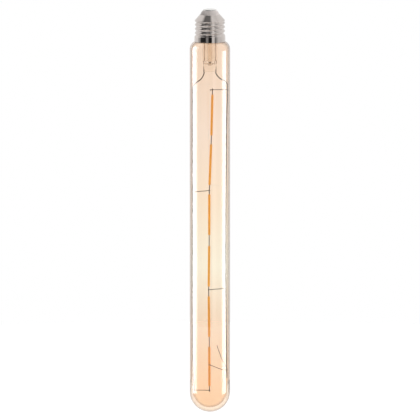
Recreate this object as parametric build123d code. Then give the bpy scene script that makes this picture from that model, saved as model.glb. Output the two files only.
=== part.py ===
from build123d import *
import math
import os

# Tubular filament lamp with a screw cap. Millimetres.
# The origin is the centre of the centre contact's outer face, and the axis is Z.
# The lamp hangs cap up, so everything lies below the origin. +X is right in the front view.

# Screw cap
cap_height = 27.8
thread_pitch = 25.4 / 7
thread_crest_dia = 26.2
thread_root_dia = 24.3
thread_crest_z = -15.15
shell_wall = 0.3
shell_drop = 4.4
shell_hole_dia = 16.0
shell_rim_dia = 17.4
shoulder_height = 4.9
skirt_dia = 26.9
skirt_height = 4.0
thread_fade = 1.9
sections_per_turn = 12
cut_margin = 1.0

# Centre contact, its rivet and the insulator around it
contact_dia = 11.2
contact_thickness = 0.6
contact_edge_round = 0.25
rivet_dia = 3.8
rivet_bore = 2.6
rivet_flare_dia = 5.4
rivet_flare_thickness = 0.4
insulator_lip = 0.4
insulator_bulge = 0.35
insulator_flange_depth = 1.9
insulator_clearance = 0.15
insulator_toe = 0.7
centre_solder_depth = 1.8

# Glass envelope
tube_dia = 35.0
glass_wall = 1.15
neck_dia = 22.0
neck_insertion = 9.8
neck_fillet = 2.5
shoulder_slope = 0.45
shoulder_fillet = 7.6
shoulder_flat = 0.3
skirt_to_glass = 0.1
dome_wall = 2.5
dome_taper_length = 11.0
dome_side_radius = 11.5
dome_below_string = 0.3
tip_thickness = 3.4

# Cement between cap and neck
cement_height = 7.3
cement_setback = 0.5
cement_clearance = 0.25

# Stem: flare, tube and press
stem_length = 36.5
stem_dia = 12.8
stem_wall = 0.65
flare_rim_height = 1.3
flare_height = 6.0
press_width = 11.4
press_depth = 4.6
press_corner = 1.6
press_height = 6.9
press_blend = 3.2
press_step = 0.4
press_step_drop = 2.5
press_lobe_dia = 3.4
press_lobe_spread = 6.0
press_lobe_sink = 0.5
bore_slot_width = 8.6
bore_slot_depth = 1.8
bore_slot_corner = 0.8

# Exhaust tube
exhaust_dia = 4.5
exhaust_bore = 3.0
exhaust_rise = 1.6
exhaust_seat = 1.0
exhaust_tip_length = 2.8
exhaust_tip_dia = 1.2
exhaust_tip_glass = 1.4
blow_hole_dia = 1.8
blow_hole_rise = 0.4

# Leads
lead_spread = 9.54
support_lead_dia = 0.85
seal_dia = 0.4
outer_lead_dia = 0.5
seal_top_depth = 1.1
seal_length = 3.6
route_arc_share = 0.45

# Filament string: rod joints from top to bottom
filament_length = 35.6
filament_dia = 2.0
filament_end_round = 0.5
string_drop = 15.8
joint_gaps = [7.1, 9.9, 7.3, 8.6, 9.0, 9.1]
joint_x = [2.3, 1.25, -0.5, -0.6, -1.05, -0.6, -0.4]
rod_drop = [0.7, 0.0, -0.3, 1.4, 1.2, 0.9]
filament_count = len(joint_gaps)
pin_width = 0.7
pin_thickness = 0.25
pin_embed = 2.5
pin_overlap = 1.2

# Cross wires and centring spring
cross_wire_dia = 0.55
weld_bite = 0.13
joint_overhang = 0.9
top_overhang = 2.4
lead_overhang = 0.6
spring_dia = 0.5
spring_bite = 0.05
spring_bend = 2.0
spring_hook_bend = 0.5
spring_rise = 19.1
spring_clearance = 0.3
front_arm_reach = 3.4
front_arm_depth = 1.5
front_tip_x = -1.0
front_tip_rise = 7.1
rear_arm_reach = 4.7
rear_arm_depth = 5.5
rear_arm_rise = 10.1
rear_tip_x = 6.2
rear_tip_rise = 19.1
lead_tail_below_spring = 7.4
lead_tail_below_wire = 0.8

# Bends of the support leads. At the press: (out from the seal, below the press). At the bore:
# (in from the bore, below the press). Down the tube: (in from the bore, above a joint of the string).
right_press_bends = [(0.0, 0.6), (1.8, 3.8), (4.6, 6.5)]
right_bore_bends = [(3.3, 7.5), (0.8, 10.2), (0.5, 14.4)]
right_tube_bends = [(1.6, 12.0), (2.3, 4.0), (2.1, -8.0)]
right_tail_inset = 1.3
left_press_bends = [(0.0, 0.5), (1.2, 4.0), (3.0, 6.7), (6.4, 9.0)]
left_bore_bends = [(1.6, 11.4), (0.9, 15.4)]
left_tube_bends = [(0.7, -12.0), (1.1, -8.0), (0.45, 10.0), (0.9, -10.0)]
left_tail_inset = 1.9

# Driver
board_gap = 3.0
board_thickness = 1.0
board_clearance = 0.8
board_tail = 0.6
driver_wire_dia = 0.6
capacitor_dia = 6.3
capacitor_height = 5.4
capacitor_round = 0.4
crimp_height = 1.2
crimp_width = 0.6
crimp_depth = 0.25
package_standoff = 0.1
package_lead_thickness = 0.2
package_lead_width = 0.5
package_lead_reach = 0.35
package_foot = 0.7
chip_size = (3.9, 4.9, 1.5)
chip_lead_pitch = 1.27
bridge_size = (3.8, 4.7, 1.6)
bridge_lead_pitch = 2.5
resistor_chip_size = (1.6, 3.2, 0.6)
fuse_body_dia = 2.4
fuse_body_length = 6.2
fuse_cap_dia = 2.7
fuse_cap_length = 1.3
fuse_lead_dia = 0.6
fuse_lead_reach = 1.2
fuse_lead_bend = 0.8
fuse_standoff = 0.3
neutral_solder_dia = 2.6
neutral_solder_drop = 3.1
neutral_solder_sink = 0.3
neutral_edge = 1.6
neutral_lean_height = 2.6
neutral_end_gap = 0.6
neutral_bend = 1.0
chip_place = (5.6, -3.0)
bridge_place = (5.6, 3.6)
capacitor_place = (-5.0, 4.3)
fuse_place = (-2.2, -6.4)
resistor_place = (0.9, 6.6)

# Radii and heights that follow from the sizes above
crest_r = thread_crest_dia / 2
root_r = thread_root_dia / 2
skirt_r = skirt_dia / 2
skirt_bore_r = skirt_r - shell_wall
neck_r = neck_dia / 2
neck_bore_r = neck_r - glass_wall
tube_r = tube_dia / 2
bore_r = tube_r - glass_wall
dome_bore_dia = tube_dia - 2 * dome_wall
stem_r = stem_dia / 2
stem_bore_r = stem_r - stem_wall
lead_x = lead_spread / 2
lead_r = support_lead_dia / 2
wire_r = cross_wire_dia / 2
spring_r = spring_dia / 2

shell_top_z = -shell_drop
thread_top_z = shell_top_z - shoulder_height
skirt_bottom_z = -cap_height
skirt_top_z = skirt_bottom_z + skirt_height
shoulder_tan = (crest_r - shell_rim_dia / 2) / shoulder_height
insulator_bottom_z = shell_top_z - shell_wall - insulator_flange_depth
neck_top_z = skirt_bottom_z + neck_insertion
press_bottom_z = neck_top_z - stem_length
press_top_z = press_bottom_z + press_height
stem_end_z = press_top_z + press_blend
seal_top_z = press_top_z - seal_top_depth
seal_bottom_z = seal_top_z - seal_length
board_bottom_z = neck_top_z + board_gap
board_top_z = board_bottom_z + board_thickness
board_r = root_r - shell_wall - board_clearance

joint_z = [press_bottom_z - string_drop]
for gap in joint_gaps:
    joint_z.append(joint_z[-1] - filament_length - gap)
string_bottom_z = joint_z[-1]
tip_space = dome_below_string + tube_r
tip_z = string_bottom_z - tip_space
dome_centre_z = tip_z + tube_r
spring_z = string_bottom_z + spring_rise


def turned(points):
    """Solid of revolution about Z from a closed outline of (radius, z) points."""
    return revolve(Plane.XZ * make_face(Polyline(*points, close=True)), Axis.Z)


def upright(radius, bottom_z, top_z, x=0.0, y=0.0):
    """Cylinder along Z between two heights."""
    height = top_z - bottom_z
    return Pos(x, y, bottom_z + height / 2) * Cylinder(radius, height)


def rod(start, end, radius):
    """Straight wire between two points."""
    line = Line(start, end)
    return sweep(Plane(origin=line @ 0, z_dir=line % 0) * Circle(radius), path=line)


def rounded_route(points):
    """Straight runs joined by arcs as large as the two runs at each corner allow."""
    corners = [Vector(*point) for point in points]
    radii = []
    for before, corner, after in zip(corners, corners[1:], corners[2:]):
        arriving, leaving = corner - before, after - corner
        half_turn = math.radians(arriving.get_angle(leaving)) / 2
        radii.append(route_arc_share * min(arriving.length, leaving.length) / math.tan(half_turn))
    return FilletPolyline(*corners, radius=radii)


def wire(route, radius):
    """Round wire along a route."""
    return sweep(Plane(origin=route @ 0, z_dir=route % 0) * Circle(radius), path=route)


def point_at_height(route, z):
    """Where a route that runs downward passes a height."""
    start, end = 0.0, 1.0
    for _ in range(40):
        middle = (start + end) / 2
        if (route @ middle).Z > z:
            start = middle
        else:
            end = middle
    return route @ start


def cone_inset(inset, slope):
    """How much a cone's radius at a fixed height shrinks when its face is drawn in by inset."""
    return inset * math.hypot(1, slope)


def shoulder_cone_r(z, inset=0.0):
    """Radius of the shell's shoulder at a height."""
    return shell_rim_dia / 2 - cone_inset(inset, shoulder_tan) + shoulder_tan * (shell_top_z - z)


def fade(share):
    """Smooth step from 0 to 1."""
    share = min(max(share, 0), 1)
    return share * share * (3 - 2 * share)


def thread_section(z, inset):
    """The shell's section at a height: a circle set off the axis toward the crest, which turns with z.

    The offset is half the thread's depth, and fades out into the shoulder above and the skirt below.
    """
    lead_in = fade((thread_top_z - z) / thread_fade)
    run_out = fade((z - skirt_top_z) / thread_fade)
    offset = (crest_r - root_r) / 2 * lead_in * run_out
    outer_r = crest_r - offset + (skirt_r - crest_r) * (1 - run_out)
    wall = inset + (cone_inset(inset, shoulder_tan) - inset) * (1 - lead_in)
    angle = 2 * math.pi * (z - thread_crest_z) / thread_pitch
    return Pos(offset * math.cos(angle), offset * math.sin(angle), z) * Circle(outer_r - wall)


def shell_form(inset):
    """The cap's form drawn in by inset: shoulder cone, round thread and skirt."""
    top_z = shell_top_z - inset
    shoulder = turned(
        [
            (0, top_z),
            (shoulder_cone_r(top_z, inset), top_z),
            (shoulder_cone_r(thread_top_z, inset), thread_top_z),
            (0, thread_top_z),
        ]
    )
    rise = thread_top_z - skirt_top_z
    steps = round(sections_per_turn * rise / thread_pitch)
    heights = [skirt_top_z + rise * step / steps for step in range(steps + 1)]
    thread = loft([thread_section(z, inset) for z in heights], ruled=True)
    skirt = upright(skirt_r - inset, skirt_bottom_z, skirt_top_z)
    return shoulder + thread + skirt


def cap_shell():
    hole = upright(shell_hole_dia / 2, shell_top_z - cut_margin, shell_top_z + cut_margin)
    return shell_form(0) - shell_form(shell_wall) - hole


def centre_contact():
    flare_top_z = insulator_bottom_z
    flare_bottom_z = flare_top_z - rivet_flare_thickness
    disc = upright(contact_dia / 2, -contact_thickness, 0)
    disc = fillet(disc.edges().sort_by(Axis.Z)[-1], contact_edge_round)
    stem = upright(rivet_dia / 2, flare_bottom_z, 0)
    flare = upright(rivet_flare_dia / 2, flare_bottom_z, flare_top_z)
    return disc + stem + flare - upright(rivet_bore / 2, flare_bottom_z, 0)


def cap_insulator():
    """Moulded cone with a neck through the shell's hole and a flange under the shell's rim."""
    top, bottom = -contact_thickness, insulator_bottom_z
    outer_r = shell_hole_dia / 2 + insulator_lip
    under_z = shell_top_z - shell_wall
    flange_r = shoulder_cone_r(under_z, shell_wall) - insulator_clearance
    flange_drop = insulator_flange_depth - insulator_toe
    bulge_r = (contact_dia / 2 + outer_r) / 2 + insulator_bulge
    side = ThreePointArc((contact_dia / 2, top), (bulge_r, (top + shell_top_z) / 2), (outer_r, shell_top_z))
    rest = Polyline(
        (outer_r, shell_top_z),
        (shell_hole_dia / 2, shell_top_z),
        (shell_hole_dia / 2, under_z),
        (flange_r, under_z),
        (flange_r + shoulder_tan * flange_drop, under_z - flange_drop),
        (flange_r, bottom),
        (rivet_dia / 2, bottom),
        (rivet_dia / 2, top),
        (contact_dia / 2, top),
    )
    return revolve(Plane.XZ * make_face([side, rest]), Axis.Z)


def glass_shoulder_z(radius):
    """Height of the envelope's outer shoulder line, which passes just below the skirt's bore."""
    return skirt_bottom_z - skirt_to_glass - shoulder_slope * (radius - skirt_bore_r)


def shoulder_round():
    """The shoulder's fillet, limited by the length of the shoulder's own wall beside the neck's fillet."""
    half_turn = math.tan((math.pi / 2 - math.atan(shoulder_slope)) / 2)
    room = cone_inset(tube_r - neck_r, shoulder_slope) - neck_fillet * half_turn - shoulder_flat
    return min(shoulder_fillet, room / half_turn)


def glass_outer():
    side = FilletPolyline(
        (neck_r, neck_top_z),
        (neck_r, glass_shoulder_z(neck_r)),
        (tube_r, glass_shoulder_z(tube_r)),
        (tube_r, dome_centre_z),
        radius=[neck_fillet, shoulder_round()],
    )
    dome = CenterArc((0, dome_centre_z), tube_r, 0, -90)
    axis = Polyline((0, tip_z), (0, neck_top_z), (neck_r, neck_top_z))
    return revolve(Plane.XZ * make_face([side, dome, axis]), Axis.Z)


def glass_inner():
    """The bore: neck, shoulder, tube, the thicker glass near the tip, and a flatter dome of two arcs."""
    dome_r = dome_bore_dia / 2
    inner_tip_z = tip_z + tip_thickness
    side_x = dome_r - dome_side_radius
    flat = dome_centre_z - inner_tip_z - dome_side_radius
    rise = (side_x**2 - flat**2) / (2 * flat)
    turn = math.degrees(math.atan2(rise, side_x))
    drop = cone_inset(glass_wall, shoulder_slope)
    side = FilletPolyline(
        (neck_bore_r, neck_top_z),
        (neck_bore_r, glass_shoulder_z(neck_bore_r) - drop),
        (bore_r, glass_shoulder_z(bore_r) - drop),
        (bore_r, dome_centre_z + dome_taper_length),
        radius=[neck_fillet + glass_wall, shoulder_round() - glass_wall],
    )
    thickening = Line((bore_r, dome_centre_z + dome_taper_length), (dome_r, dome_centre_z))
    dome_side = CenterArc((side_x, dome_centre_z), dome_side_radius, 0, -turn)
    dome_end = CenterArc((0, dome_centre_z + rise), dome_centre_z + rise - inner_tip_z, -turn, turn - 90)
    axis = Polyline((0, inner_tip_z), (0, neck_top_z), (neck_bore_r, neck_top_z))
    return revolve(Plane.XZ * make_face([side, thickening, dome_side, dome_end, axis]), Axis.Z)


def glass_envelope():
    return glass_outer() - glass_inner()


def cap_cement():
    """Ring that fills the skirt around the neck and reaches up inside the thread."""
    inner_r = neck_bore_r
    thread_r = root_r - shell_wall - cement_clearance
    bottom_z = skirt_bottom_z + cement_setback
    ring = turned(
        [
            (inner_r, bottom_z + cement_height),
            (thread_r, bottom_z + cement_height),
            (thread_r, skirt_top_z),
            (skirt_bore_r, skirt_top_z),
            (skirt_bore_r, bottom_z),
            (inner_r, bottom_z),
        ]
    )
    return ring - glass_outer()


def press_section(width, depth, corner, z):
    return Pos(0, 0, z) * RectangleRounded(width, depth, corner)


def stem_outer():
    rim_z = neck_top_z - flare_rim_height
    flare_end_z = neck_top_z - flare_height
    tube = turned(
        [
            (0, neck_top_z),
            (neck_bore_r, neck_top_z),
            (neck_bore_r, rim_z),
            (stem_r, flare_end_z),
            (stem_r, stem_end_z),
            (0, stem_end_z),
        ]
    )
    upper_depth = press_depth + 2 * press_step
    step_z = press_top_z - press_step_drop
    blend = loft(
        [
            press_section(press_width, upper_depth, press_corner, press_top_z),
            Pos(0, 0, stem_end_z) * Circle(stem_r),
        ]
    )
    upper = extrude(press_section(press_width, upper_depth, press_corner, step_z), press_step_drop)
    lower = extrude(
        press_section(press_width, press_depth, press_corner, press_bottom_z), press_height - press_step_drop
    )
    return tube + blend + upper + lower


def stem_cavity():
    """Bore of the flare and tube, which narrows to a slot with a lobe on each side of the middle."""
    rim_z = neck_top_z - flare_rim_height
    flare_end_z = neck_top_z - flare_height
    rim_bore_r = neck_bore_r - stem_wall
    bore = turned(
        [
            (0, neck_top_z),
            (rim_bore_r, neck_top_z),
            (rim_bore_r, rim_z),
            (stem_bore_r, flare_end_z),
            (stem_bore_r, stem_end_z),
            (0, stem_end_z),
        ]
    )
    slot_z = press_top_z + press_lobe_dia / 2 - press_lobe_sink
    slot = loft(
        [
            press_section(bore_slot_width, bore_slot_depth, bore_slot_corner, slot_z),
            Pos(0, 0, stem_end_z) * Circle(stem_bore_r),
        ]
    )
    lobe = Sphere(press_lobe_dia / 2)
    lobes = [Pos(side * press_lobe_spread / 2, 0, slot_z) * lobe for side in (-1, 1)]
    return bore + slot + lobes


def blow_hole():
    """Hole from the exhaust bore to the front of the stem, just above the press."""
    height = press_top_z + blow_hole_rise + blow_hole_dia / 2
    hole = Rot(90, 0, 0) * Cylinder(blow_hole_dia / 2, stem_dia)
    return Pos(0, -stem_dia / 2, height) * hole


def exhaust_tube():
    """Tube up the middle of the stem, open into the envelope and drawn shut at its tip."""
    bottom_z = press_top_z - exhaust_seat
    top_z = neck_top_z + exhaust_rise
    shoulder_z = top_z - exhaust_tip_length
    body = turned(
        [
            (0, bottom_z),
            (exhaust_dia / 2, bottom_z),
            (exhaust_dia / 2, shoulder_z),
            (exhaust_tip_dia / 2, top_z),
            (0, top_z),
        ]
    )
    bore = turned(
        [
            (0, bottom_z),
            (exhaust_bore / 2, bottom_z),
            (exhaust_bore / 2, shoulder_z),
            (0, top_z - exhaust_tip_glass),
        ]
    )
    return body - bore - blow_hole()


def exhaust_seat_cut():
    """Room for the exhaust tube where it is fused into the press."""
    return upright(exhaust_dia / 2, press_top_z - exhaust_seat, stem_end_z)


def outer_lead(side):
    return upright(outer_lead_dia / 2, seal_top_z, board_top_z + board_tail, side * lead_x)


def dumet_seal(side):
    return upright(seal_dia / 2, seal_bottom_z, seal_top_z, side * lead_x)


def flare_stem(embedded):
    return stem_outer() - stem_cavity() - exhaust_seat_cut() - blow_hole() - embedded


def lead_route(side, press_bends, bore_bends, tube_bends, joints, tail):
    """A support lead: out of the press, across to the bore, then bowed down the tube to its tail."""
    bore_x = bore_r - lead_r
    points = [(lead_x, seal_bottom_z)]
    points += [(lead_x + out, press_bottom_z - drop) for out, drop in press_bends]
    points += [(bore_x - inset, press_bottom_z - drop) for inset, drop in bore_bends]
    points += [(bore_x - inset, joint_z[joint] + rise) for (inset, rise), joint in zip(tube_bends, joints)]
    points.append((bore_x - tail[0], tail[1]))
    return rounded_route([(side * x, 0, z) for x, z in points])


def right_route():
    tail = (right_tail_inset, spring_z - lead_tail_below_spring)
    return lead_route(1, right_press_bends, right_bore_bends, right_tube_bends, (1, 3, 4), tail)


def left_route():
    tail = (left_tail_inset, string_bottom_z - lead_tail_below_wire)
    return lead_route(-1, left_press_bends, left_bore_bends, left_tube_bends, (1, 2, 4, 5), tail)


def rod_frame(index):
    """Frame at the middle of a rod, with Z up along the line between its two joints."""
    top = Vector(joint_x[index], 0, joint_z[index])
    bottom = Vector(joint_x[index + 1], 0, joint_z[index + 1])
    along = (top - bottom).normalized()
    middle = (top + bottom) / 2 - along * rod_drop[index]
    return Plane(origin=middle, x_dir=Vector(0, 1, 0).cross(along), z_dir=along), top, bottom


def filament_pins(index):
    """Two flat end pins: the upper one lies behind the rod's middle plane, the lower one in front."""
    frame, top, bottom = rod_frame(index)
    inner_end = filament_length / 2 - pin_embed
    pins = []
    for joint, side in ((top, 1), (bottom, -1)):
        outer_end = (joint - frame.origin).length + pin_overlap
        length = outer_end - inner_end
        strip = Box(pin_width, pin_thickness, length)
        pins.append(frame * Pos(0, side * pin_thickness / 2, side * (inner_end + length / 2)) * strip)
    return pins


def filament(index, pins):
    """Coated rod with rounded ends, closed around its two pins."""
    body = Cylinder(filament_dia / 2, filament_length)
    body = fillet(body.edges().filter_by(GeomType.CIRCLE), filament_end_round)
    return rod_frame(index)[0] * body - pins


def cross_wire(joint, route, rise, overhang, welded):
    """Straight wire behind a joint's pins and behind a support lead, let into both by the weld."""
    pin_back = 0.0 if joint == filament_count else pin_thickness
    at_joint = Vector(joint_x[joint], pin_back + wire_r - weld_bite, joint_z[joint])
    lead_point = point_at_height(route, joint_z[joint] + rise)
    at_lead = Vector(lead_point.X, lead_r + wire_r - weld_bite, lead_point.Z)
    along = (at_lead - at_joint).normalized()
    straight = rod(at_joint - along * overhang, at_lead + along * lead_overhang, wire_r)
    for piece in welded:
        straight = straight - piece
    return straight


def centring_spring(route, lead):
    """One thin wire hooked round the right lead, with one arm to the front wall and one to the rear."""
    hook = lead_r + spring_r - spring_bite
    x = point_at_height(route, spring_z).X
    reach = bore_r - spring_clearance - spring_r
    front_tip_y = -math.sqrt(reach**2 - front_tip_x**2)
    rear_tip_y = math.sqrt(reach**2 - rear_tip_x**2)
    path = FilletPolyline(
        (front_tip_x, front_tip_y, spring_z + front_tip_rise),
        (x - front_arm_reach, -front_arm_depth, spring_z),
        (x + hook, -hook, spring_z),
        (x + hook, hook, spring_z),
        (x - rear_arm_reach, rear_arm_depth, spring_z + rear_arm_rise),
        (rear_tip_x, rear_tip_y, spring_z + rear_tip_rise),
        radius=[spring_bend, spring_hook_bend, spring_hook_bend, spring_bend],
    )
    return wire(path, spring_r) - lead


def live_lead():
    """From the board up the rivet's bore to the centre contact."""
    return upright(driver_wire_dia / 2, board_bottom_z - board_tail, -centre_solder_depth / 2)


def neutral_lead():
    """From the rear of the board up and out to the inside of the shell's shoulder."""
    board_y = board_r - neutral_edge
    solder_z = shell_top_z - neutral_solder_drop
    route = FilletPolyline(
        (0, board_y, board_bottom_z - board_tail),
        (0, board_y, solder_z - neutral_lean_height),
        (0, shoulder_cone_r(solder_z, shell_wall) - neutral_end_gap, solder_z),
        radius=neutral_bend,
    )
    return wire(route, driver_wire_dia / 2)


def shell_solder(lead):
    """Blob that joins the neutral lead to the shell's inner face."""
    solder_z = shell_top_z - neutral_solder_drop
    blob_y = shoulder_cone_r(solder_z, shell_wall) - neutral_solder_sink
    inside_top_z = shell_top_z - shell_wall
    inside = turned(
        [
            (0, inside_top_z),
            (shoulder_cone_r(inside_top_z, shell_wall), inside_top_z),
            (shoulder_cone_r(thread_top_z, shell_wall), thread_top_z),
            (0, thread_top_z),
        ]
    )
    return (Pos(0, blob_y, solder_z) * Sphere(neutral_solder_dia / 2)) & inside - lead


def centre_solder(lead):
    return upright(rivet_bore / 2, -centre_solder_depth, 0) - lead


def driver_board(leads):
    return upright(board_r, board_bottom_z, board_top_z) - leads


def gull_wing_package(size, leads_per_side, lead_pitch):
    """Moulded package standing on bent leads along its two long sides."""
    width, length, height = size
    body = Pos(0, 0, package_standoff + height / 2) * Box(width, length, height)
    body = chamfer(body.edges().group_by(Axis.Z)[-1], package_standoff)
    middle, half = package_standoff + height / 2, package_lead_thickness / 2
    knee_x = width / 2 + package_lead_reach
    profile = Polyline(
        (0, middle + half),
        (knee_x + half, middle + half),
        (knee_x + half, 2 * half),
        (knee_x + package_foot, 2 * half),
        (knee_x + package_foot, 0),
        (knee_x - half, 0),
        (knee_x - half, middle - half),
        (0, middle - half),
        close=True,
    )
    strip = extrude(Plane.XZ * make_face(profile), package_lead_width / 2, both=True)
    for row in range(leads_per_side):
        y = (row - (leads_per_side - 1) / 2) * lead_pitch
        body += Pos(0, y, 0) * strip
        body += Pos(0, y, 0) * Rot(0, 0, 180) * strip
    return body


def on_board(place):
    return Pos(place[0], place[1], board_top_z)


def driver_chip():
    return on_board(chip_place) * gull_wing_package(chip_size, 4, chip_lead_pitch)


def bridge_rectifier():
    return on_board(bridge_place) * gull_wing_package(bridge_size, 2, bridge_lead_pitch)


def smoothing_capacitor():
    """Small can with its crimped groove near the foot."""
    can = Pos(0, 0, capacitor_height / 2) * Cylinder(capacitor_dia / 2, capacitor_height)
    can = fillet(can.edges().sort_by(Axis.Z)[-1], capacitor_round)
    ring = Cylinder(capacitor_dia / 2 + cut_margin, crimp_width)
    ring -= Cylinder(capacitor_dia / 2 - crimp_depth, crimp_width)
    return on_board(capacitor_place) * (can - Pos(0, 0, crimp_height) * ring)


def fuse_resistor():
    """Axial body with end caps, its leads bent down to the board."""
    axis_z = fuse_cap_dia / 2 + fuse_standoff
    turned_x = Rot(0, 90, 0)
    body = turned_x * Cylinder(fuse_body_dia / 2, fuse_body_length)
    cap_x = (fuse_body_length - fuse_cap_length) / 2
    lead_end_x = fuse_body_length / 2 + fuse_lead_reach
    for side in (-1, 1):
        body += Pos(side * cap_x, 0, 0) * turned_x * Cylinder(fuse_cap_dia / 2, fuse_cap_length)
    leads = FilletPolyline(
        (-lead_end_x, 0, -axis_z),
        (-lead_end_x, 0, 0),
        (lead_end_x, 0, 0),
        (lead_end_x, 0, -axis_z),
        radius=fuse_lead_bend,
    )
    return on_board(fuse_place) * Pos(0, 0, axis_z) * (body + wire(leads, fuse_lead_dia / 2))


def sense_resistor():
    width, length, height = resistor_chip_size
    return on_board(resistor_place) * Pos(0, 0, height / 2) * Box(width, length, height)


def build():
    """Every node of the lamp by name."""
    right, left = right_route(), left_route()
    right_lead, left_lead = wire(right, lead_r), wire(left, lead_r)
    outer = {1: outer_lead(1), -1: outer_lead(-1)}
    seals = {1: dumet_seal(1), -1: dumet_seal(-1)}
    live, neutral = live_lead(), neutral_lead()
    nodes = {
        "cap_shell": cap_shell(),
        "cap_insulator": cap_insulator(),
        "centre_contact": centre_contact(),
        "centre_solder": centre_solder(live),
        "shell_solder": shell_solder(neutral),
        "cap_cement": cap_cement(),
        "driver_board": driver_board([outer[1], outer[-1], live, neutral]),
        "bridge_rectifier": bridge_rectifier(),
        "driver_chip": driver_chip(),
        "smoothing_capacitor": smoothing_capacitor(),
        "fuse_resistor": fuse_resistor(),
        "sense_resistor": sense_resistor(),
        "live_lead": live,
        "neutral_lead": neutral,
        "glass_envelope": glass_envelope(),
        "flare_stem": flare_stem([outer[1], outer[-1], seals[1], seals[-1], right_lead, left_lead]),
        "exhaust_tube": exhaust_tube(),
        "left_outer_lead": outer[-1],
        "right_outer_lead": outer[1],
        "left_dumet_seal": seals[-1],
        "right_dumet_seal": seals[1],
        "left_support_lead": left_lead,
        "right_support_lead": right_lead,
    }
    pins = [filament_pins(index) for index in range(filament_count)]
    for index in range(filament_count):
        nodes[f"filament_{index + 1}"] = filament(index, pins[index])
        nodes[f"filament_{index + 1}_pins"] = Compound(children=pins[index])
    cross_wires = {
        "cross_wire_top": (0, right, right_lead, 0.1, top_overhang),
        "cross_wire_upper_left": (2, left, left_lead, -1.4, joint_overhang),
        "cross_wire_lower_right": (4, right, right_lead, 1.2, joint_overhang),
        "cross_wire_bottom": (6, left, left_lead, 0.2, joint_overhang),
    }
    for name, (joint, route, lead, rise, overhang) in cross_wires.items():
        near_pins = [pin for pair in pins[max(joint - 1, 0) : joint + 1] for pin in pair]
        nodes[name] = cross_wire(joint, route, rise, overhang, [lead] + near_pins)
    nodes["centring_spring"] = centring_spring(right, right_lead)
    return nodes


os.makedirs("parts", exist_ok=True)
for name, shape in build().items():
    export_step(shape, f"parts/{name}.step")
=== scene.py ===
import math

import bmesh
import bpy
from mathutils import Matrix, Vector, noise


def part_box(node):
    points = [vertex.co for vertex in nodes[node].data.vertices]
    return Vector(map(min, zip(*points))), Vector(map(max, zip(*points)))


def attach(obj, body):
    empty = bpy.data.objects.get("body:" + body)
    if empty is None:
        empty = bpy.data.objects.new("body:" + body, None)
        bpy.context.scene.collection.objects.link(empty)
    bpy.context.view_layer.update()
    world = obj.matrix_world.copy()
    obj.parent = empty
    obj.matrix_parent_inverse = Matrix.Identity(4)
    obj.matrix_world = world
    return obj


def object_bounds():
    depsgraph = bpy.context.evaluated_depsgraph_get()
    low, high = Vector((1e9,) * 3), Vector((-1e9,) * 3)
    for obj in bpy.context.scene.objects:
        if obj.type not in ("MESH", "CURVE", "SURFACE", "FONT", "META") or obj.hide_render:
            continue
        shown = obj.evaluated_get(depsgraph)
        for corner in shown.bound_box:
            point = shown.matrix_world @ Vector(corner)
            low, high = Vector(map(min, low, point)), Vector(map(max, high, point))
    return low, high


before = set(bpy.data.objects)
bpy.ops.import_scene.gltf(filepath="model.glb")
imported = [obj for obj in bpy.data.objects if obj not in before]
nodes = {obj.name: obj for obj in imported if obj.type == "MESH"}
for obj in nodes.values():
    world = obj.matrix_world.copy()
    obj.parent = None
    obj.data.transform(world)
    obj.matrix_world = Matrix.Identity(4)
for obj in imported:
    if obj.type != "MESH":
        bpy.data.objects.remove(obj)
cad_low, cad_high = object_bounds()

# Camera: the photograph's angle, seen from far off
CAMERA_DISTANCE = 12.0
CAMERA_ELEVATION = math.radians(8.5)
CAMERA_LENS = 1185.9
CAMERA_TARGET = Vector((0.00009, 0.0, -0.17560))
SENSOR_WIDTH = 36.0
CLIP_RANGE = (0.1, 50.0)

# Studio
FLOOR_GAP = 0.11
FLOOR_RADIUS = 1.2
FLOOR_SIDES = 96
STRIP_DISTANCE = 0.6
STRIP_BOTTOM = -0.8
STRIP_END_SOFTNESS = 0.12
# name, azimuth and half angle in degrees, radiance, top, softness of the left and right sides
STRIPS = [
    ("strip_left", -94.0, 24.0, 9.0, 0.4, (0.1, 0.45)),
    ("strip_right", 85.5, 19.0, 9.0, -0.04, (0.45, 0.1)),
]
KEY_PLACE = (0.9, -0.9, 1.3)
KEY_AIM = (0, 0, -0.15)
KEY_SIDE = 0.9
KEY_RADIANCE = 3.0

# Grey levels of the studio in degrees off the front, right positive: what metal and glass reflect of it
WALL_BANDS = [
    (-180, 0.5), (-79, 0.52), (-71, 0.04), (-32, 0.02), (-27, 0.3), (-14, 0.3), (-8, 0.015),
    (13, 0.015), (18, 0.95), (33, 0.95), (38, 0.25), (46, 0.3), (57, 0.62), (68, 0.8), (180, 0.95),
]
FLOOR_GLOW = 0.49
FLOOR_TONES = ((0.84, 0.84, 0.84, 1.0), (0.86, 0.86, 0.86, 1.0))
WHITE = (1.0, 1.0, 1.0, 1.0)
# The darker patch overhead, and where the ceiling and the ground take over from the walls, in degrees
PATCH_DIRECTION = Vector((-0.243, -0.207, 0.947)).normalized()
PATCH_SPAN = (15, 26)
PATCH_LEVELS = (0.2, 0.95)
CEILING_SPAN = (50, 60)
LEFT_CEILING_SPAN = (36, 50)
LEFT_CEILING_TURN = (-88, -104)
GROUND_SPAN = (-72, -88)
GROUND_LEVEL = (0.4, 0.4, 0.4, 1.0)
# Shares of the way to the back, along Y, where the walls change over and the white background starts
WALL_TURN = (0.3, 0.6)
BACK_SPAN = (0.0, 0.2)

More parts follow.
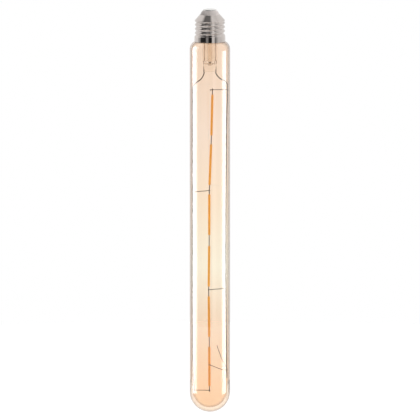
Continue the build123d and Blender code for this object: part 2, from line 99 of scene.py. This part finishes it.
# Glass: the tone from the tip (0) to the cap (1), and the darker tone that it turns to toward its
# silhouette: on the amber glass partly the longer path through the tint and partly painted shade, on the
# clear stem glass painted shade
AMBER_TONES = [
    (0.0, (0.965, 0.755, 0.565, 1.0)),
    (0.2, (0.965, 0.83, 0.705, 1.0)),
    (0.36, (1.0, 0.955, 0.85, 1.0)),
    (0.53, (1.0, 0.90, 0.78, 1.0)),
    (0.7, (0.985, 0.88, 0.79, 1.0)),
    (1.0, (0.94, 0.80, 0.68, 1.0)),
]
AMBER_EDGE_TINT_AND_SHADE = (0.2, 0.125, 0.085, 1.0)
AMBER_EDGE_SHADE_SPAN = (0.45, 0.8)
CLEAR_EDGE_PAINTED_SHADE = (0.40, 0.30, 0.22, 1.0)
CLEAR_EDGE_SHADE_SPAN = (0.7, 1.0)

# Small forms, in metres
CHIP_PITCH = 0.0014
SPLIT_ANGLE = math.radians(32)
BEAD_SIZE = (0.00055, 0.00034, 0.00042)
BEAD_SWELL = 0.14
BEAD_INSET = 0.0009
BEAD_FORWARD = 0.00015

BOUNCES = 40
GLOSSY_BOUNCES = 24
CLEAR_BOUNCES = 24

GLASS_ONLY = bpy.data.collections.new("glass_only")
GLASS_ONLY.objects.link(nodes["glass_envelope"])


def linear(red, green, blue):
    """A colour written as 0 to 255 in display values."""
    values = []
    for part in (red, green, blue):
        part = part / 255
        values.append(part / 12.92 if part <= 0.04045 else ((part + 0.055) / 1.055) ** 2.4)
    return tuple(values) + (1.0,)


class Tree:
    """A small helper that adds nodes and links to one node tree."""

    def __init__(self, tree):
        self.tree = tree

    def add(self, kind, settings=None, **inputs):
        made = self.tree.nodes.new(kind)
        for name, value in (settings or {}).items():
            setattr(made, name, value)
        for name, value in inputs.items():
            self.feed(made.inputs[name.replace("_", " ")], value)
        return made

    def feed(self, socket, value):
        if isinstance(value, bpy.types.NodeSocket):
            self.tree.links.new(value, socket)
        else:
            socket.default_value = value

    def maths(self, operation, first, second=0.0, third=0.0):
        made = self.add("ShaderNodeMath", {"operation": operation})
        for socket, value in zip(made.inputs, (first, second, third)):
            self.feed(socket, value)
        return made.outputs[0]

    def blend(self, share, first, second):
        made = self.add("ShaderNodeMix", {"data_type": "RGBA"})
        self.feed(made.inputs[0], share)
        self.feed(made.inputs[6], first)
        self.feed(made.inputs[7], second)
        return made.outputs[2]

    def ramp(self, share, stops, smooth=False):
        made = self.add("ShaderNodeValToRGB")
        made.color_ramp.interpolation = "EASE" if smooth else "LINEAR"
        elements = made.color_ramp.elements
        while len(elements) < len(stops):
            elements.new(1.0)
        for element, (position, value) in zip(elements, stops):
            element.position = position
            element.color = value if isinstance(value, tuple) else (value, value, value, 1.0)
        self.feed(made.inputs[0], share)
        return made.outputs[0]

    def span(self, value, low, high, to_low=0.0, to_high=1.0):
        made = self.add("ShaderNodeMapRange")
        for socket, number in zip(made.inputs, (value, low, high, to_low, to_high)):
            self.feed(socket, number)
        return made.outputs[0]


class Look(Tree):
    """A material around one Principled shader, in the object's own coordinates."""

    def __init__(self, name):
        self.material = bpy.data.materials.new(name)
        self.material.use_nodes = True
        super().__init__(self.material.node_tree)
        self.shader = self.tree.nodes["Principled BSDF"]
        self.output = self.tree.nodes["Material Output"]
        self.place = self.add("ShaderNodeTexCoord").outputs["Object"]

    def set(self, **inputs):
        for name, value in inputs.items():
            self.feed(self.shader.inputs[name.replace("_", " ")], value)

    def noise(self, scale, detail=3.0, stretch=(1.0, 1.0, 1.0)):
        placed = self.add("ShaderNodeMapping", Vector=self.place, Scale=stretch).outputs[0]
        return self.add("ShaderNodeTexNoise", Vector=placed, Scale=scale, Detail=detail).outputs["Fac"]

    def bump(self, height, strength, distance):
        bumped = self.add("ShaderNodeBump", Strength=strength, Distance=distance, Height=height)
        self.set(Normal=bumped.outputs[0])


def metal(name, dark, light, rough, scale, stretch=(1.0, 1.0, 1.0), bump=0.15, depth=0.00002):
    """Plated or drawn metal: uneven tone, uneven roughness and a fine surface."""
    look = Look(name)
    grain = look.noise(scale, 4.0, stretch)
    cloud = look.noise(scale / 6, 3.0)
    look.set(
        Base_Color=look.blend(look.span(cloud, 0.3, 0.7), dark, light),
        Metallic=1.0,
        Roughness=look.span(grain, 0.3, 0.7, rough[0], rough[1]),
    )
    look.bump(grain, bump, depth)
    return look


def plain(name, dark, light, rough, scale, bump, depth, detail=4.0):
    """A solid material: two close tones in clouds, uneven roughness and a fine surface."""
    look = Look(name)
    cloud = look.noise(scale / 5, 3.0)
    grain = look.noise(scale, detail)
    look.set(
        Base_Color=look.blend(look.span(cloud, 0.3, 0.7), dark, light),
        Roughness=look.span(grain, 0.3, 0.7, rough[0], rough[1]),
    )
    look.bump(grain, bump, depth)
    return look


def lets_lamps_through(look, tint):
    """Glass: rays from lamps and the world reach what is behind it, a little coloured."""
    path = look.add("ShaderNodeLightPath")
    clear = look.add("ShaderNodeBsdfTransparent", Color=tint)
    mix = look.add("ShaderNodeMixShader", Fac=path.outputs["Is Shadow Ray"])
    look.feed(mix.inputs[1], look.shader.outputs[0])
    look.feed(mix.inputs[2], clear.outputs[0])
    look.feed(look.output.inputs["Surface"], mix.outputs[0])


def amber_glass():
    """Amber glass: the tone drifts along the tube and deepens toward the tube's silhouette, partly for the
    longer path through the tint and partly as painted shade.
    """
    look = Look("amber_glass")
    height = look.add("ShaderNodeSeparateXYZ", Vector=look.place).outputs["Z"]
    along = look.span(height, cad_low.z, cad_high.z)
    tone = look.ramp(along, AMBER_TONES)
    # partly the longer path through the tint, partly painted shade: the base colour turns dark brown toward
    # the silhouette
    facing = look.add("ShaderNodeLayerWeight", Blend=0.5).outputs["Facing"]
    edge_shade = look.span(facing, *AMBER_EDGE_SHADE_SPAN)
    cloud = look.span(look.noise(60.0, 2.0, (1, 1, 0.3)), 0.3, 0.7, 0.0, 0.12)
    cloudy = look.blend(cloud, tone, (0.96, 0.85, 0.74, 1.0))
    look.set(
        Base_Color=look.blend(edge_shade, cloudy, AMBER_EDGE_TINT_AND_SHADE),
        Transmission_Weight=1.0,
        Roughness=0.0,
        IOR=1.5,
    )
    wave = look.noise(45.0, 2.0, (1, 1, 0.12))
    look.bump(wave, 0.03, 0.0004)
    lets_lamps_through(look, (0.99, 0.90, 0.80, 1.0))
    return look.material


def clear_glass():
    """Clear stem glass, a little wavy from the flame, with painted shade toward its silhouette."""
    look = Look("clear_glass")
    cloud = look.noise(120.0, 2.0)
    # painted shade: the base colour turns brown toward the silhouette
    facing = look.add("ShaderNodeLayerWeight", Blend=0.5).outputs["Facing"]
    edge_shade = look.span(facing, *CLEAR_EDGE_SHADE_SPAN)
    tone = look.blend(cloud, (0.97, 0.95, 0.92, 1.0), (0.92, 0.88, 0.83, 1.0))
    look.set(
        Base_Color=look.blend(edge_shade, tone, CLEAR_EDGE_PAINTED_SHADE),
        Transmission_Weight=1.0,
        Roughness=0.0,
        IOR=1.52,
    )
    look.bump(look.noise(260.0, 2.0, (1, 1, 0.4)), 0.35, 0.0003)
    lets_lamps_through(look, (0.97, 0.96, 0.94, 1.0))
    return look.material


def phosphor():
    """Phosphor in silicone: the row of chips beneath shows as faint lighter patches."""
    look = Look("phosphor")
    height = look.add("ShaderNodeSeparateXYZ", Vector=look.place).outputs["Z"]
    chips = look.maths("SINE", look.maths("MULTIPLY", height, 2 * math.pi / CHIP_PITCH))
    cloud = look.noise(700.0, 4.0)
    share = look.maths("MULTIPLY_ADD", chips, 0.18, look.maths("MULTIPLY", cloud, 0.9))
    look.set(
        Base_Color=look.ramp(
            share, [(0.1, linear(216, 150, 40)), (0.5, linear(228, 164, 54)), (0.9, linear(240, 184, 74))]
        ),
        Roughness=look.span(cloud, 0.3, 0.7, 0.45, 0.7),
        Specular_IOR_Level=0.25,
    )
    look.bump(share, 0.25, 0.00008)
    return look.material


def laminate():
    """Green laminate with the weave of the glass cloth just visible."""
    look = plain("board", linear(22, 74, 40), linear(34, 96, 54), (0.3, 0.5), 1500.0, 0.2, 0.00003)
    weave = look.add("ShaderNodeTexWave", {"bands_direction": "DIAGONAL"}, Vector=look.place, Scale=900.0)
    look.bump(weave.outputs["Fac"], 0.15, 0.00003)
    return look.material


SLOT_LOOKS = {
    "nickel_shell": metal(
        "nickel_shell", linear(192, 184, 179), linear(208, 200, 195), (0.05, 0.1), 900.0, (1, 1, 5), 0.08
    ).material,
    "insulator": plain(
        "insulator", linear(220, 210, 205), linear(234, 225, 221), (0.32, 0.5), 1300.0, 0.25, 0.00006
    ).material,
    "contact": metal(
        "contact", linear(204, 201, 197), linear(224, 221, 217), (0.14, 0.26), 1500.0, (1, 1, 1), 0.25
    ).material,
    "solder": metal(
        "solder", linear(186, 186, 186), linear(214, 214, 212), (0.22, 0.4), 1400.0,
        bump=0.35, depth=0.00004,
    ).material,
    "cement": plain(
        "cement", linear(196, 190, 178), linear(214, 209, 198), (0.75, 0.95), 1800.0, 0.8, 0.0001
    ).material,
    "amber_glass": amber_glass(),
    "clear_glass": clear_glass(),
    "support_wire": metal(
        "support_wire", linear(34, 24, 18), linear(52, 38, 29), (0.25, 0.42), 2400.0, (1, 1, 0.08), 0.3
    ).material,
    "thin_wire": metal(
        "thin_wire", linear(24, 14, 8), linear(38, 25, 16), (0.25, 0.42), 3000.0, (1, 1, 0.1), 0.3
    ).material,
    "copper_wire": metal(
        "copper_wire", linear(122, 84, 62), linear(150, 108, 82), (0.25, 0.42), 2600.0, (1, 1, 0.08), 0.25
    ).material,
    "phosphor": phosphor(),
    "filament_pin": metal(
        "filament_pin", linear(52, 30, 20), linear(74, 46, 32), (0.3, 0.5), 2600.0, (1, 1, 0.1), 0.3
    ).material,
    "board": laminate(),
    "black_package": plain(
        "black_package", linear(28, 28, 29), linear(42, 42, 43), (0.5, 0.72), 3000.0, 0.4, 0.00003
    ).material,
    "capacitor_can": plain(
        "capacitor_can", linear(30, 38, 62), linear(44, 54, 84), (0.22, 0.36), 1500.0, 0.2, 0.00003
    ).material,
    "resistor_body": plain(
        "resistor_body", linear(128, 166, 160), linear(150, 188, 182), (0.28, 0.46), 1600.0, 0.3, 0.00004
    ).material,
    "insulated_wire": plain(
        "insulated_wire", linear(178, 40, 32), linear(204, 58, 46), (0.3, 0.45), 1200.0, 0.2, 0.00003
    ).material,
}


def dress_cad():
    """Gives each CAD node the finished material of its slot."""
    for node in nodes.values():
        for place in node.material_slots:
            slot = place.material.name.split(".")[0]
            place.material = SLOT_LOOKS[slot]
        node.data.shade_smooth()
        smooth = node.modifiers.new("edges", "EDGE_SPLIT")
        smooth.split_angle = SPLIT_ANGLE


dress_cad()


def bead(name, centre, size, seed, slot):
    """A small weld bead: a flattened ball with an uneven skin."""
    mesh = bpy.data.meshes.new(name)
    built = bmesh.new()
    bmesh.ops.create_icosphere(built, subdivisions=3, radius=1.0)
    for vertex in built.verts:
        swell = 1 + BEAD_SWELL * noise.noise(vertex.co * 1.7 + Vector((seed, 0, 0)))
        vertex.co = Vector(vertex.co[axis] * size[axis] * swell for axis in range(3))
    built.to_mesh(mesh)
    built.free()
    mesh.shade_smooth()
    piece = bpy.data.objects.new(name, mesh)
    piece.location = centre
    bpy.context.scene.collection.objects.link(piece)
    mesh.materials.append(SLOT_LOOKS[slot])
    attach(piece, "root")
    return piece


def weld_beads():
    """One bead where each cross wire's end lies on a lead or on the pins."""
    to_left = ("cross_wire_upper_left", "cross_wire_bottom")
    for index, name in enumerate(("cross_wire_top", to_left[0], "cross_wire_lower_right", to_left[1])):
        low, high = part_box(name)
        middle_y = (low.y + high.y) / 2
        for side, x in (("a", low.x), ("b", high.x)):
            inward = BEAD_INSET if side == "a" else -BEAD_INSET
            z = high.z if (side == "a") == (name in to_left) else low.z
            bead(
                f"weld_{name}_{side}",
                (x + inward, middle_y - BEAD_FORWARD, z),
                BEAD_SIZE,
                7.0 * index + (1.0 if side == "a" else 3.0),
                "thin_wire",
            )


def stage_floor():
    """A plain pale disc below the hanging lamp."""
    mesh = bpy.data.meshes.new("floor")
    built = bmesh.new()
    bmesh.ops.create_circle(built, cap_ends=True, segments=FLOOR_SIDES, radius=FLOOR_RADIUS)
    built.to_mesh(mesh)
    built.free()
    floor = bpy.data.objects.new("floor", mesh)
    floor.location.z = cad_low.z - FLOOR_GAP
    bpy.context.scene.collection.objects.link(floor)
    look = Look("floor")
    cloud = look.noise(3.0, 2.0)
    path = look.add("ShaderNodeLightPath")
    shown = look.maths("MAXIMUM", path.outputs["Is Glossy Ray"], path.outputs["Is Transmission Ray"])
    shown = look.maths("MAXIMUM", shown, path.outputs["Is Camera Ray"])
    look.set(
        Base_Color=look.blend(cloud, *FLOOR_TONES),
        Roughness=0.9,
        Specular_IOR_Level=0.0,
        Emission_Color=WHITE,
        Emission_Strength=look.maths("MULTIPLY", shown, FLOOR_GLOW),
    )
    mesh.materials.append(look.material)


def by_angle(tree, turn, bands):
    """Grey levels round the studio, from degrees off the front."""
    return tree.ramp(turn, [((degrees + 180) / 360, level) for degrees, level in bands])


def studio_world():
    """A white background, and in front a studio of pale walls and dark flags for metal to reflect."""
    world = bpy.data.worlds.new("studio")
    world.use_nodes = True
    bpy.context.scene.world = world
    tree = Tree(world.node_tree)
    world.node_tree.nodes.clear()
    direction = tree.add("ShaderNodeTexCoord").outputs["Generated"]
    parts = tree.add("ShaderNodeSeparateXYZ", Vector=direction).outputs
    elevation = tree.maths("ARCSINE", parts["Z"])
    lean = tree.maths("ARCTAN2", parts["X"], tree.maths("SUBTRACT", 1.0, parts["Y"]))
    walls = by_angle(tree, tree.span(lean, -math.pi / 2, math.pi / 2), WALL_BANDS)
    azimuth = tree.maths("ARCTAN2", parts["X"], tree.maths("MULTIPLY", parts["Y"], -1.0))
    level = by_angle(tree, tree.span(azimuth, -math.pi, math.pi), WALL_BANDS)
    walls = tree.blend(tree.span(parts["Y"], *WALL_TURN), walls, level)
    above = tree.span(elevation, *map(math.radians, CEILING_SPAN))
    below = tree.span(elevation, *map(math.radians, GROUND_SPAN))
    patch = tree.add("ShaderNodeVectorMath", {"operation": "DOT_PRODUCT"})
    tree.feed(patch.inputs[0], direction)
    tree.feed(patch.inputs[1], PATCH_DIRECTION)
    off_patch = tree.maths("ARCCOSINE", patch.outputs["Value"])
    overhead = tree.span(off_patch, *map(math.radians, PATCH_SPAN), *PATCH_LEVELS)
    past_flag = tree.span(azimuth, *map(math.radians, LEFT_CEILING_TURN))
    raised = tree.span(elevation, *map(math.radians, LEFT_CEILING_SPAN))
    above = tree.maths("MAXIMUM", above, tree.maths("MULTIPLY", past_flag, raised))
    room = tree.blend(above, walls, overhead)
    room = tree.blend(below, room, GROUND_LEVEL)
    back = tree.span(parts["Y"], *BACK_SPAN)
    path = tree.add("ShaderNodeLightPath").outputs
    shown = tree.maths("MAXIMUM", path["Is Camera Ray"], path["Is Transmission Ray"])
    shown = tree.maths("MAXIMUM", shown, tree.maths("MULTIPLY", path["Is Glossy Ray"], back))
    colour = tree.blend(shown, room, WHITE)
    shader = tree.add("ShaderNodeBackground", Color=colour, Strength=1.0)
    output = tree.add("ShaderNodeOutputWorld")
    tree.feed(output.inputs["Surface"], shader.outputs[0])


def lamp(name, place, aim, width, height, radiance):
    data = bpy.data.lights.new(name, "AREA")
    data.shape = "RECTANGLE"
    data.size, data.size_y = width, height
    data.energy = radiance * math.pi * width * height
    made = bpy.data.objects.new(name, data)
    made.location = place
    made.rotation_mode = "QUATERNION"
    made.rotation_quaternion = (Vector(place) - Vector(aim)).to_track_quat("Z", "Y")
    made.visible_camera = False
    made.visible_transmission = False
    bpy.context.scene.collection.objects.link(made)
    return made


def strip(name, azimuth, half_angle, radiance, top, soft_sides):
    """A tall softbox beside the lamp, with soft sides, which shows only as a reflection on the envelope."""
    turn = math.radians(azimuth)
    x, y = STRIP_DISTANCE * math.sin(turn), -STRIP_DISTANCE * math.cos(turn)
    z = (STRIP_BOTTOM + top) / 2
    width = 2 * STRIP_DISTANCE * math.tan(math.radians(half_angle))
    made = lamp(name, (x, y, z), (0, 0, z), width, top - STRIP_BOTTOM, radiance)
    made.visible_diffuse = False
    made.data.use_nodes = True
    tree = Tree(made.data.node_tree)
    place = tree.add("ShaderNodeSeparateXYZ", Vector=tree.add("ShaderNodeNewGeometry").outputs["Parametric"])
    shares = []
    for axis, softness in (("X", soft_sides), ("Y", (STRIP_END_SOFTNESS, STRIP_END_SOFTNESS))):
        along = place.outputs[axis]
        for distance, soft in zip((along, tree.maths("SUBTRACT", 1.0, along)), softness):
            fade = tree.add("ShaderNodeMapRange", {"interpolation_type": "SMOOTHSTEP"}, Value=distance)
            fade.inputs["From Max"].default_value = soft
            shares.append(fade.outputs[0])
    level = shares[0]
    for share in shares[1:]:
        level = tree.maths("MULTIPLY", level, share)
    tree.feed(made.data.node_tree.nodes["Emission"].inputs["Strength"], level)
    made.light_linking.receiver_collection = GLASS_ONLY


def studio_lamps():
    for values in STRIPS:
        strip(*values)
    key = lamp("key", KEY_PLACE, KEY_AIM, KEY_SIDE, KEY_SIDE, KEY_RADIANCE)
    key.visible_glossy = False


def studio_camera():
    data = bpy.data.cameras.new("camera")
    data.lens = CAMERA_LENS
    data.sensor_width = SENSOR_WIDTH
    data.clip_start, data.clip_end = CLIP_RANGE
    camera = bpy.data.objects.new("camera", data)
    back = Vector((0, -math.cos(CAMERA_ELEVATION), math.sin(CAMERA_ELEVATION)))
    camera.location = CAMERA_TARGET + back * CAMERA_DISTANCE
    camera.rotation_mode = "QUATERNION"
    camera.rotation_quaternion = (-back).to_track_quat("-Z", "Y")
    bpy.context.scene.collection.objects.link(camera)
    bpy.context.scene.camera = camera


weld_beads()
stage_floor()
studio_world()
studio_lamps()
studio_camera()
bpy.context.scene.view_settings.view_transform = "Standard"
bpy.context.scene.cycles.max_bounces = BOUNCES
bpy.context.scene.cycles.transmission_bounces = BOUNCES
bpy.context.scene.cycles.glossy_bounces = GLOSSY_BOUNCES
bpy.context.scene.cycles.transparent_max_bounces = CLEAR_BOUNCES
